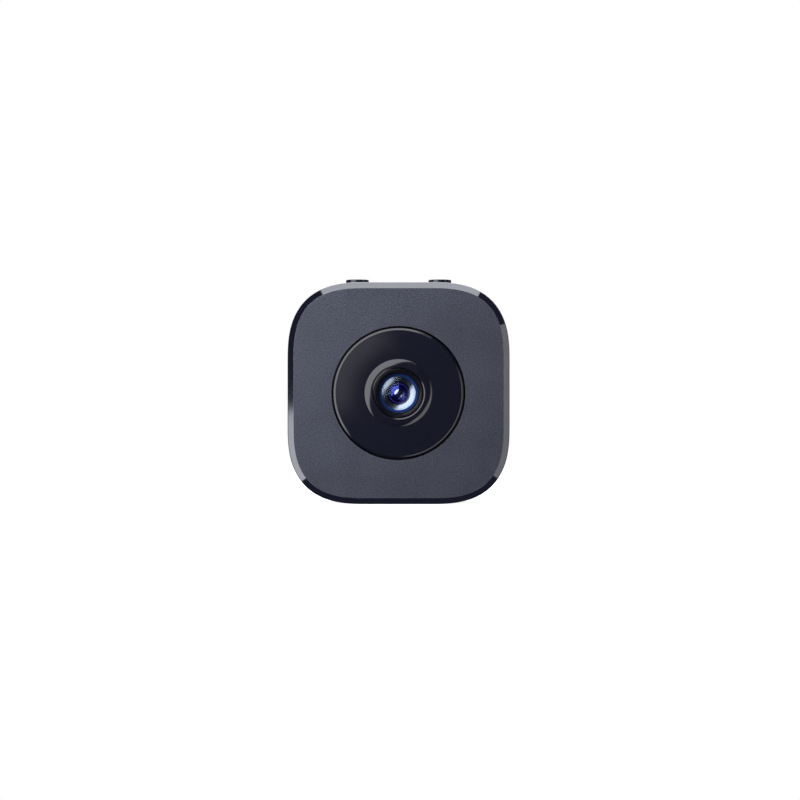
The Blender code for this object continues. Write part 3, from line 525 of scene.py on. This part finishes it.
def makeFrontFrame():
    shape = frameShape
    outer = roundCorners(
        [
            (case["wall"], frameEnd, 0),
            (0, frameEnd, shape["backRound"]),
            (0, shape["chamfer"], shape["chamferRound"]),
            (shape["chamfer"], 0, 0.04),
            (3 * shape["chamfer"], 0, 0),
        ],
        closed=False,
    )
    rings = [caseRing(inset, depth) for inset, depth in outer[:-1]]
    mouth = roundCorners(
        [
            (shape["opening"] + 1, 0, 0),
            (shape["opening"], 0, shape["lip"]),
            (shape["opening"], shape["plate"], 0),
        ],
        closed=False,
    )
    spokes = [Vector((point.x, point.z)).normalized() for point in rings[0]]
    for radius, depth in mouth[1:]:
        rings.append([Vector((spoke.x * radius, depth, spoke.y * radius)) for spoke in spokes])
    rings.append(caseRing(case["wall"], shape["plate"]))
    frameMesh = loft(rings, closed=True)
    limit = shape["chamfer"] + shape["chamferRound"] * 0.35

    def isChamfer(centre, normal):
        isOuter = max(abs(centre.x), abs(centre.z)) > shape["opening"] + 2
        return isOuter and 0.005 <= centre.y < limit

    # the wall of the opening is painted dull black: painted shade in the gap round the bezel
    def isShadedOpeningWall(centre, normal):
        return fromAxis(centre) < shape["opening"] + shape["lip"]

    paint(frameMesh, 1, isChamfer)
    paint(frameMesh, 2, isShadedOpeningWall)
    finish = ["anodisedBlasted", "brightCut", "baffleBlack"]
    seats = pegs(post["insertSeat"], post["insertDepth"], frameEnd + 1)
    posts = pegs(post["radius"], shape["plate"] / 2, frameEnd - 0.1)
    addPiece("frontFrame", frameMesh, finish, "case", ["front_frame"], seats, posts)


def makeHousing():
    wall = case["wall"]
    round_ = 0.18
    section = roundCorners(
        [
            (0, housingStart, round_),
            (0, housingEnd, round_),
            (wall, housingEnd, 0),
            (wall, housingStart, 0),
        ]
    )
    shell = loft([caseRing(inset, depth) for inset, depth in section], closed=True)
    reach = wall + 1
    toRight, toLeft = (math.pi / 2, "Z"), (-math.pi / 2, "Z")
    cuts = []
    usb = middleOf("usb_socket")
    cuts.append(moved(flaredCutter(3.8, 9.5, 1.85, 0.3, reach), (halfSide, usb.y, usb.z), toRight))
    card = middleOf("memory_card")
    cuts.append(moved(flaredCutter(1.5, 12.0, 0.7, 0.15, reach), (-halfSide, card.y, card.z), toLeft))
    scoopRadius = 6.0
    scoop = roundCorners(
        [(0, -2.2, 0), (scoopRadius, -2.2, 0.8), (scoopRadius, 2.2, 0.8), (0, 2.2, 0)], closed=False
    )
    cuts.append(moved(turned(scoop), (-halfSide - scoopRadius + 0.8, card.y, card.z)))
    speaker = middleOf("speaker")
    slotDepth = speaker.y
    for step in range(-2, 3):
        slot = flaredCutter(0.7, 6.6 - 1.3 * abs(step), 0.34, 0.12, reach)
        cuts.append(moved(slot, (-halfSide, slotDepth + step * 1.2, speaker.z), toLeft))
    microphone = middleOf("microphone")
    hole = flaredCutter(1.2, 1.2, 0.59, 0.15, reach)
    cuts.append(moved(hole, (halfSide, microphone.y, microphone.z), toRight))
    for node in ("left_button", "right_button"):
        button = middleOf(node)
        hole = flaredCutter(6.0, 6.0, 2.99, 0.2, reach)
        cuts.append(moved(moved(hole, turn=(-math.pi / 2, "X")), (button.x, button.y, halfSide)))
    recess = moved(flaredCutter(26.0, 10.6, 1.4, 0.2, 1.4), turn=(math.pi / 2, "X"))
    cuts.append(moved(recess, (0, middleOf("mount_plate").y, -halfSide)))
    cuts += pegs(post["bore"], housingStart - 1, housingEnd + 1)
    posts = pegs(post["radius"], housingStart + 0.1, housingEnd - 0.1)
    look = ["texturedAbs"]
    addPiece("mainHousing", shell, look, "case", ["main_housing"], cuts, posts)


def makeRearCover():
    wall = case["wall"]
    round_, floor = 2.0, coverEnd - 1.8
    outer = roundCorners(
        [
            (8, coverEnd, 0),
            (0, coverEnd, round_),
            (0, coverStart, 0.18),
            (wall, coverStart, 0),
            (wall, floor, 0),
            (8, floor, 0),
        ],
        closed=False,
        steps=8,
    )
    cover = loft([caseRing(inset, depth) for inset, depth in outer[1:-1]])
    cuts = []
    pitch = 2.2
    for row in range(-10, 11):
        isVent = abs(row) > 7
        reach = 4 if isVent else 0.7
        groove = flaredCutter(22.0 if isVent else 30.0, 1.0, 0.49, 0.15, reach)
        cuts.append(moved(moved(groove, turn=(math.pi, "Z")), (0, coverEnd, row * pitch)))
    for x, z in postSpots:
        seat = moved(flaredCutter(4.2, 4.2, 2.09, 0.2, 1.25), turn=(math.pi, "Z"))
        cuts.append(moved(seat, (x, coverEnd, z)))
    pipe = middleOf("light_pipe")
    hole = moved(flaredCutter(2.4, 2.4, 1.19, 0.15, 4), turn=(math.pi, "Z"))
    cuts.append(moved(hole, (pipe.x, coverEnd, pipe.z)))
    cuts += pegs(post["bore"], coverStart - 1, coverEnd - 0.6)
    posts = pegs(post["radius"], coverStart + 0.1, floor + 1)
    addPiece("rearCover", cover, ["texturedAbs"], "case", ["rear_cover"], cuts, posts)


makeFrontFrame()
makeHousing()
makeRearCover()
print("case shells made")


# ---- Lens ----

bezelShape = {
    "radius": 15.8, "rim": 0.5, "face": -0.3, "hood": 8.25, "hoodTop": 6.8, "hoodHeight": 1.2, "bore": 6.1,
}


def makeBezel():
    shape = bezelShape
    face, top = shape["face"], -shape["hoodHeight"]
    # the hood rolls over from 10 degrees at its top to 35 at its foot, and meets the disc in a crisp line
    start, end = math.radians(10), math.radians(35)
    roll = (shape["hood"] - shape["hoodTop"]) / (math.sin(end) - math.sin(start))
    hood = []
    for step in range(25):
        slope = start + (end - start) * step / 24
        across = roll * (math.sin(slope) - math.sin(start))
        hood.append((shape["hoodTop"] + across, top + roll * (math.cos(start) - math.cos(slope)), 0))
    foot = hood[-1][1]
    disc = []
    reach = shape["radius"] - shape["rim"] - shape["hood"]
    for step in range(1, 24):  # the disc is very slightly domed, more so towards its rim
        share = step / 24
        disc.append((shape["hood"] + reach * share, foot + (face - foot) * share**2.2, 0))
    profile = roundCorners(
        [
            (shape["bore"], 3.1, 0),
            (shape["bore"], top + 0.13, 0.02),
            (shape["bore"] + 0.3, top, 0.03),
            *hood,
            *disc,
            (shape["radius"] - shape["rim"], face, 0.05),
            (shape["radius"], face + 0.6 * shape["rim"], 0.08),
            (shape["radius"], 2.1, 0),
            (shape["radius"] + 2, 2.1, 0),
            (shape["radius"] + 2, 3.1, 0),
        ],
        steps=6,
    )
    bezel = turned(profile, 192)

    def isHoodOrRim(centre, normal):
        radius = math.hypot(centre.x, centre.z)
        return radius < shape["hood"] or radius > shape["radius"] - shape["rim"]

    paint(bezel, 1, isHoodOrRim)
    addPiece("lensBezel", bezel, ["pianoBlack", "satinBlack"], "case", ["lens_bezel"])


def dome(curve, vertex, radius, steps=16):
    # points on a spherical face from the axis out; a negative curve bulges rearwards
    points = []
    for step in range(steps + 1):
        across = radius * step / steps
        sag = abs(curve) - math.sqrt(curve**2 - across**2)
        points.append(Vector((across, vertex + math.copysign(sag, curve))))
    return points


def makeLens():
    black = ["blackBarrel"]
    barrel = roundCorners(
        [
            (5.5, -0.9, 0.06), (5.9, -0.9, 0.08), (5.9, 13.4, 0.2), (3.4, 13.4, 0), (3.4, 10.6, 0),
            (4.35, 10.6, 0), (4.35, 3.9, 0), (5.25, 3.9, 0), (5.25, 1.0, 0), (5.5, 1.0, 0),
        ]
    )
    addPiece("lensBarrel", turned(barrel), black, "case", ["lens_barrel"])
    ring = [(4.83, 0.6, 0), (4.83, 0.12, 0.02)]
    for step in range(4):  # the stepped baffle that kills stray light
        ring += [(4.9 + 0.1 * step, 0.12 - 0.17 * step, 0), (4.9 + 0.1 * step, -0.05 - 0.17 * step, 0)]
    ring += [(5.35, -0.6, 0.02), (5.35, 0.6, 0)]
    ring = turned(roundCorners(ring))
    addPiece("lensRetainingRing", ring, ["satinBlack"], "case", ["lens_retaining_ring"])

    glass = dome(9, -0.6, 5.1) + [Vector((5.1, 2.15))] + dome(4.5, 0.6, 3.4)[::-1]
    front = paint(turned(glass), 1, lambda at, normal: at.y > 0.59 and fromAxis(at) < 3.4)
    coatings = ["frontCoating", "hollowCoating"]
    addPiece("lensFrontElement", front, coatings, "case", ["lens_front_element"])

    # the turned face of the spacer is a shallow funnel between the front element and the second one
    spacer = [
        (2.45, 3.75), (2.45, 3.08), (2.86, 2.95), (3.28, 2.8), (3.69, 2.63), (4.1, 2.42), (4.13, 2.34),
        (4.18, 2.3), (4.73, 2.3), (5.1, 2.3), (5.1, 3.75),
    ]

    spacerMesh = turned([Vector(point) for point in spacer], 192)
    # the flat front face of the spacer gets the painted blue reflection of the coating
    paint(spacerMesh, 1, lambda at, normal: fromAxis(at) > 4.11)
    paint(spacerMesh, 2, lambda at, normal: fromAxis(at) > 4.72 or at.y > 3)
    rings = ["polishedSpacer", "paintedBlueReflection", "baffleBlack"]
    addPiece("lensFrontSpacer", spacerMesh, rings, "case", ["lens_front_spacer"])

    second = dome(5, 2.5, 2.18)
    edge = second[-1].y
    rim = [(2.36, edge + 0.1), (2.36, 3.95), (4.2, 4.05), (4.2, 5.9), (2.4, 5.9)]
    second += [Vector(point) for point in rim]
    second += dome(2.5, 3.4, 1.6)[::-1]
    # the edge chamfer of the second element gets the painted violet reflection of its coating
    secondMesh = paint(turned(second), 1, lambda at, normal: edge < at.y < 4 and fromAxis(at) > 2.18)
    paint(secondMesh, 2, lambda at, normal: at.y > 3.2 and fromAxis(at) < 1.6)
    secondLooks = ["innerCoating", "paintedVioletReflection", "spotCoating"]
    addPiece("lensSecondElement", secondMesh, secondLooks, "case", ["lens_second_element"])
    rear = dome(3.6, 7.6, 1.9) + [Vector((4.2, 8.1)), Vector((4.2, 9.4))] + dome(-8, 10.3, 3.4)[::-1]
    rearMesh = paint(turned(rear), 1, lambda at, normal: at.y > 9.4)
    rearLooks = ["rearCoating", "hollowCoating"]
    addPiece("lensRearElement", rearMesh, rearLooks, "case", ["lens_rear_element"])
    stop = roundCorners([(1.2, 7.25, 0), (1.6, 7.15, 0), (4.2, 7.15, 0), (4.2, 7.4, 0), (1.3, 7.4, 0)])
    stopMesh = paint(turned(stop), 1, lambda at, normal: fromAxis(at) < 1.59 and at.y < 7.25)
    stopLooks = ["baffleBlack", "brightCut"]
    addPiece("apertureStop", stopMesh, stopLooks, "case", ["aperture_stop"])


makeBezel()
makeLens()
print("lens made")


# ---- Buttons, screws and the base plate ----


def makeButton(side):
    node = f"{side}_button"
    spot = middleOf(node)
    low, high = boxOf(node)
    cap = roundCorners(
        [
            (0, high.z, 0), (2.2, high.z - 0.02, 2), (2.8, high.z - 0.08, 0.16), (2.8, 24.5, 0), (
                3.5, 24.5, 0.1
            ),
            (3.5, 23.9, 0.1), (1.3, 23.9, 0), (1.3, low.z, 0.1), (0, low.z, 0),
        ],
        closed=False,
    )
    shape = moved(
        turned([Vector((radius, -height)) for radius, height in cap], 96), turn=(-math.pi / 2, "X")
    )
    shape = moved(shape, (spot.x, spot.y, 0))
    addPiece(f"{side}Button", shape, ["pianoBlack"], f"{side}_key", [node])


def makeScrew(number, node):
    spot = middleOf(node)
    low, high = boxOf(node)
    head = 1.8
    seat = high.y - 1.0
    profile = roundCorners(
        [
            (0, high.y, 0), (head * 0.7, high.y - 0.02, 1), (head, high.y - 0.15, 0.2), (head, seat, 0.08),
            (0.9, seat, 0), (0.9, low.y + 0.5, 0.1), (0.4, low.y, 0), (0, low.y, 0),
        ],
        closed=False,
    )
    shape = turned(profile[::-1], 48)
    cross = []
    for turn in (0, math.pi / 2):
        arm = moved(slab(0.42, 2.0, 0.1, -0.65, 1, 0.05), turn=(turn, "Y"))
        cross.append(moved(arm, (spot.x, high.y, spot.z)))
    shape = moved(shape, (spot.x, 0, spot.z))
    addPiece(f"caseScrew{number}", shape, ["blackZinc"], "case", [node], cross)


def makeBasePlate():
    for name, node, look, slot, radius, edge in (
        ("mountPlate", "mount_plate", "zincPlate", "plate_steel", 1.1, 0.12),
        ("adhesivePad", "adhesive_pad", "foam", "pad_foam", 0.8, 0.04),
    ):
        low, high = boxOf(node)
        size = high - low
        plate = moved(slab(size.x, size.y, radius, -size.z / 2, size.z / 2, edge), turn=(math.pi / 2, "X"))
        addPiece(name, moved(plate, (low + high) / 2), [look], "base_plate", [node])


for side in ("left", "right"):
    makeButton(side)
for number in range(1, 5):
    makeScrew(number, f"case_screw_{number}")
makeBasePlate()
print("buttons, screws and base plate made")


# ---- Card, socket and light pipe ----


def makeMemoryCard():
    low, high = boxOf("memory_card")
    middle = (low + high) / 2
    length, width, thick = high.x - low.x, high.z - low.z, high.y - low.y
    # the outer end is on the left; the narrow nose and its step are at the inner end
    nose = width - 1.3
    top, bottom = width / 2, -width / 2
    corners = [
        (-length / 2, top, 0.8), (1.4, top, 0.3), (2.1, top - 0.7, 0.2), (3.3, top - 0.7, 0.3), (
            4.0, bottom + nose, 0.4
        ),
        (length / 2, bottom + nose, 0.8), (length / 2, bottom, 0.8), (-length / 2, bottom, 0.8),
    ]
    outline = roundCorners(corners, steps=6)
    rings = []
    for shrink, depth in (
        (0.12, -thick / 2), (0, -thick / 2 + 0.12), (0, thick / 2 - 0.12), (0.12, thick / 2)
    ):
        ratio = 1 - 2 * shrink / width
        rings.append([Vector((u * ratio, depth, v * ratio)) for u, v in outline])
    card = loft(rings)
    groove = moved(slab(1.0, width + 2, 0.4, -1, 0.12, 0.05), (-length / 2 + 1.8, -thick / 2, 0))
    cuts = [moved(groove, middle)]
    addPiece("memoryCard", moved(card, middle), ["cardAbs"], "card", ["memory_card"], cuts)
    for index in range(8):
        pad = slab(2.6, 0.72, 0.1, -0.01, 0.02, 0.005)
        spot = middle + Vector((length / 2 - 2.4, thick / 2, -width / 2 + 1.2 + index * 1.1))
        contact = toObject(f"cardContact{index + 1}", moved(pad, spot), [finishes["goldContact"]])
        contact.data.shade_smooth()
        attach(contact, "card")


def makeUsbSocket():
    low, high = boxOf("usb_socket")
    middle = (low + high) / 2
    width, height, length = high.z - low.z, high.y - low.y, high.x - low.x
    wall = 0.3
    section = roundCorners(
        [(0, 0, 0.12), (0, length, 0.15), (height / 2 - 0.1, length, 0)], closed=False, steps=3
    )[1:]
    inner = roundCorners(
        [(height / 2 - 0.1, length - 1, 0), (wall, length - 1, 0.05), (wall, 0, 0.1)], closed=False
    )
    rings = []
    for inset, depth in [Vector((wall / 2, 0)), *section, *inner]:
        outline = roundedRectangle(
            height - 2 * inset, width - 2 * inset, max(height / 2 - inset - 0.02, 0.02)
        )
        rings.append([Vector((x, depth, z)) for x, z in outline])
    shell = loft(rings, closed=True)
    toRight = (math.pi / 2, "Z")
    place = (high.x, middle.y, middle.z)
    addPiece(
        "usbSocket", moved(shell, place, toRight), ["tinnedSteel"], "case", ["usb_socket"]
    )
    tongue = slab(0.7, 6.7, 0.15, 0.8, length - 0.9, 0.15)
    made = toObject("usbTongue", moved(tongue, place, toRight), [finishes["filledNylon"]])
    made.data.shade_smooth()
    made.data.set_sharp_from_angle(angle=math.radians(32))
    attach(made, "case")
    for side, first in ((-1, 1), (1, 13)):
        for index in range(12):
            strip = slab(0.04, 0.26, 0.015, 1.1, 4.6, 0.01)
            strip = moved(moved(strip, (side * 0.35, 0, (index - 5.5) * 0.5)), place, toRight)
            contact = toObject(f"usbContact{first + index}", strip, [finishes["goldContact"]])
            contact.data.shade_smooth()
            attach(contact, "case")


def makeLightPipe():
    low, high = boxOf("light_pipe")
    spot = (low + high) / 2
    profile = roundCorners(
        [
            (0, low.y, 0),
            (1.5, low.y, 0.1),
            (1.5, low.y + 1, 0),
            (1.0, low.y + 1, 0),
            (1.0, high.y, 0.15),
            (0, high.y, 0),
        ],
        closed=False,
    )
    shape = moved(turned(profile, 48), (spot.x, 0, spot.z))
    addPiece("lightPipe", shape, ["frostedAcrylic"], "case", ["light_pipe"])


makeMemoryCard()
makeUsbSocket()
makeLightPipe()
print("card, socket and light pipe made")


# ---- Solids kept from the frame ----

keptLooks = {
    "barrel_black": "blackBarrel", "holder_plastic": "filledNylon", "chip_black": "chipEpoxy",
    "circuit_board": "solderMask", "shield_steel": "tinnedSteel", "led_white": "lampCeramic",
    "light_pipe_clear": "frostedAcrylic", "thermal_silicone": "siliconePutty",
    "spreader_aluminium": "milledAluminium", "capacitor_sleeve": "shrinkSleeve",
    "speaker_plastic": "filledNylon", "wire_insulation": "wireInsulation", "flex_film": "polyimideFilm",
    "magnet_nickel": "nickelPlate", "screw_steel": "blackZinc",
    "brass_insert": "turnedBrass", "gasket_foam": "foam", "optical_glass": "filterCoating",
    "switch_plastic": "filledNylon",
}
slotOf = {row["node"]: row["material_slot"] for row in frame["record"]["subparts"]}
for node, solid in frame["nodes"].items():
    if solid.hide_render:
        continue
    solid.data.materials.clear()
    solid.data.materials.append(finishes[keptLooks[slotOf[node]]])
print("finishes set on the kept solids")


# ---- Studio ----

studio = {
    "floorFade": (0.28, 0.5), "floorGlow": 0.9, "floorColour": "#f4f4f2",
    "dimColour": "#2b2d3d", "dim": 1.0,
}


def makeFloor():
    mesh = bpy.data.meshes.new("floor")
    reach = 1.2
    corners = [(-reach, -reach, 0), (reach, -reach, 0), (reach, reach, 0), (-reach, reach, 0)]
    mesh.from_pydata(corners, [], [(0, 1, 2, 3)])
    floor = bpy.data.objects.new("floor", mesh)
    bpy.context.scene.collection.objects.link(floor)
    made, tree = newMaterial("paperSweep")  # white paper that fades into the white surroundings
    place = addNode(tree, "TexCoord").outputs["Object"]
    distance = addNode(tree, "VectorMath", {0: place}, operation="LENGTH").outputs["Value"]
    fade = addNode(tree, "MapRange", {"Value": distance}, interpolation_type="SMOOTHSTEP")
    fade.inputs["From Min"].default_value, fade.inputs["From Max"].default_value = studio["floorFade"]
    paper = addNode(tree, "BsdfDiffuse", {"Color": linear(studio["floorColour"])})
    glow = addNode(tree, "Emission", {"Strength": studio["floorGlow"]})
    lit = addNode(tree, "AddShader", {0: paper.outputs["BSDF"], 1: glow.outputs["Emission"]})
    clear = addNode(tree, "BsdfTransparent")
    mixed = addNode(tree, "MixShader", {0: fade.outputs["Result"], 1: lit.outputs["Shader"]})
    tree.links.new(clear.outputs["BSDF"], mixed.inputs[2])
    addNode(tree, "OutputMaterial", {"Surface": mixed.outputs["Shader"]})
    mesh.materials.append(made)
    # the sweep is only for the camera, so the dark chamfer below stays dark
    floor.visible_glossy = floor.visible_diffuse = floor.visible_transmission = floor.visible_shadow = False


def makeWorld():
    world = bpy.data.worlds.new("studio")
    bpy.context.scene.world = world
    world.use_nodes = True
    tree = world.node_tree
    tree.nodes.clear()
    dim = addNode(tree, "Background", {"Color": linear(studio["dimColour"]), "Strength": studio["dim"]})
    white = addNode(tree, "Background", {"Color": (1, 1, 1, 1), "Strength": 1.0})
    isCamera = addNode(tree, "LightPath").outputs["Is Camera Ray"]
    mixed = addNode(tree, "MixShader", {0: isCamera, 1: dim.outputs["Background"]})
    tree.links.new(white.outputs["Background"], mixed.inputs[2])
    addNode(tree, "OutputWorld", {"Surface": mixed.outputs["Shader"]})


# Each softbox is a curved patch round the lens. "off" is degrees off the lens axis and "round" is degrees
# round it from the right-hand side; "fade" is how many degrees the edges take to fade out, in each direction.
# "narrow" takes degrees off both ends of "round" at the edge nearest the axis: the patch is a wedge.
softboxes = {
    "key": {
        "off": (20, 73), "round": (60, 227), "narrow": (40, 42), "far": 0.3, "radiance": 4.0, "fade": (3, 8)
    },
    "keySheen": {"off": (1, 24), "round": (84, 214), "far": 0.32, "radiance": 0.85, "fade": (12, 40)},
    "fill": {
        "off": (38, 66),
        "round": (-94, 32),
        "narrow": (30, 55),
        "far": 0.4,
        "radiance": 2.6,
        "fade": (3, 14),
    },
    "top": {"off": (60, 120), "round": (59.5, 116.7), "far": 0.45, "radiance": 0.95, "fade": (0, 0)},
    "right": {"off": (66, 110), "round": (-34.7, 19), "far": 0.45, "radiance": 0.35, "fade": (0, 0)},
    "left": {"off": (66, 110), "round": (180.7, 218.4), "far": 0.45, "radiance": 0.95, "fade": (0, 0)},
    "rear": {"off": (125, 165), "round": (10, 170), "far": 0.7, "radiance": 2.2, "fade": (12, 30)},
}


def makeSoftbox(name, box):
    steps = 32
    early, late = box.get("narrow", (0, 0))
    trims = (early, -late)
    mesh = bmesh.new()
    glow = mesh.verts.layers.float.new("glow")
    grid = []
    for row in range(steps + 1):
        line = []
        spans = [box["off"], [end + trim * (1 - row / steps) for end, trim in zip(box["round"], trims)]]
        for column in range(steps + 1):
            angles = []
            strength = box["radiance"]
            for (low, high), fade, step in zip(spans, box["fade"], (row, column)):
                angles.append(math.radians(low + (high - low) * step / steps))
                inside = (high - low) * min(step, steps - step) / steps
                share = min(inside / fade, 1) if fade else 1
                strength *= share * share * (3 - 2 * share)
            off, around = angles
            across, height = math.sin(off) * math.cos(around), math.sin(off) * math.sin(around)
            vertex = mesh.verts.new(Vector((across, -math.cos(off), height)) * box["far"])
            vertex[glow] = strength
            line.append(vertex)
        grid.append(line)
    for near, far in zip(grid, grid[1:]):
        for column in range(steps):
            mesh.faces.new((near[column], near[column + 1], far[column + 1], far[column]))
    made, tree = newMaterial(name + "Cloth")
    cloth = addNode(tree, "Attribute", attribute_name="glow").outputs["Fac"]
    light = addNode(tree, "Emission", {"Color": linear("#fafbff"), "Strength": cloth})
    addNode(tree, "OutputMaterial", {"Surface": light.outputs["Emission"]})
    panel = toObject(name, mesh, [made])
    panel.visible_camera = panel.visible_shadow = False


def makeCamera():
    view = {"lens": 135, "sensor": 36, "width": 194.1, "across": 0.34, "up": -1.66}
    distance = view["width"] * view["lens"] / view["sensor"]
    data = bpy.data.cameras.new("camera")
    data.lens, data.sensor_width = view["lens"], view["sensor"]
    camera = bpy.data.objects.new("camera", data)
    bpy.context.scene.collection.objects.link(camera)
    camera.location = lensAxis + Vector((view["across"], -distance, view["up"])) * mm
    camera.rotation_euler = (math.pi / 2, 0, 0)
    bpy.context.scene.camera = camera


makeFloor()
makeWorld()
for name, box in softboxes.items():
    makeSoftbox(name, box)
makeCamera()
bpy.context.scene.view_settings.view_transform = "Standard"
bpy.context.scene.cycles.use_denoising = True
print("studio set")
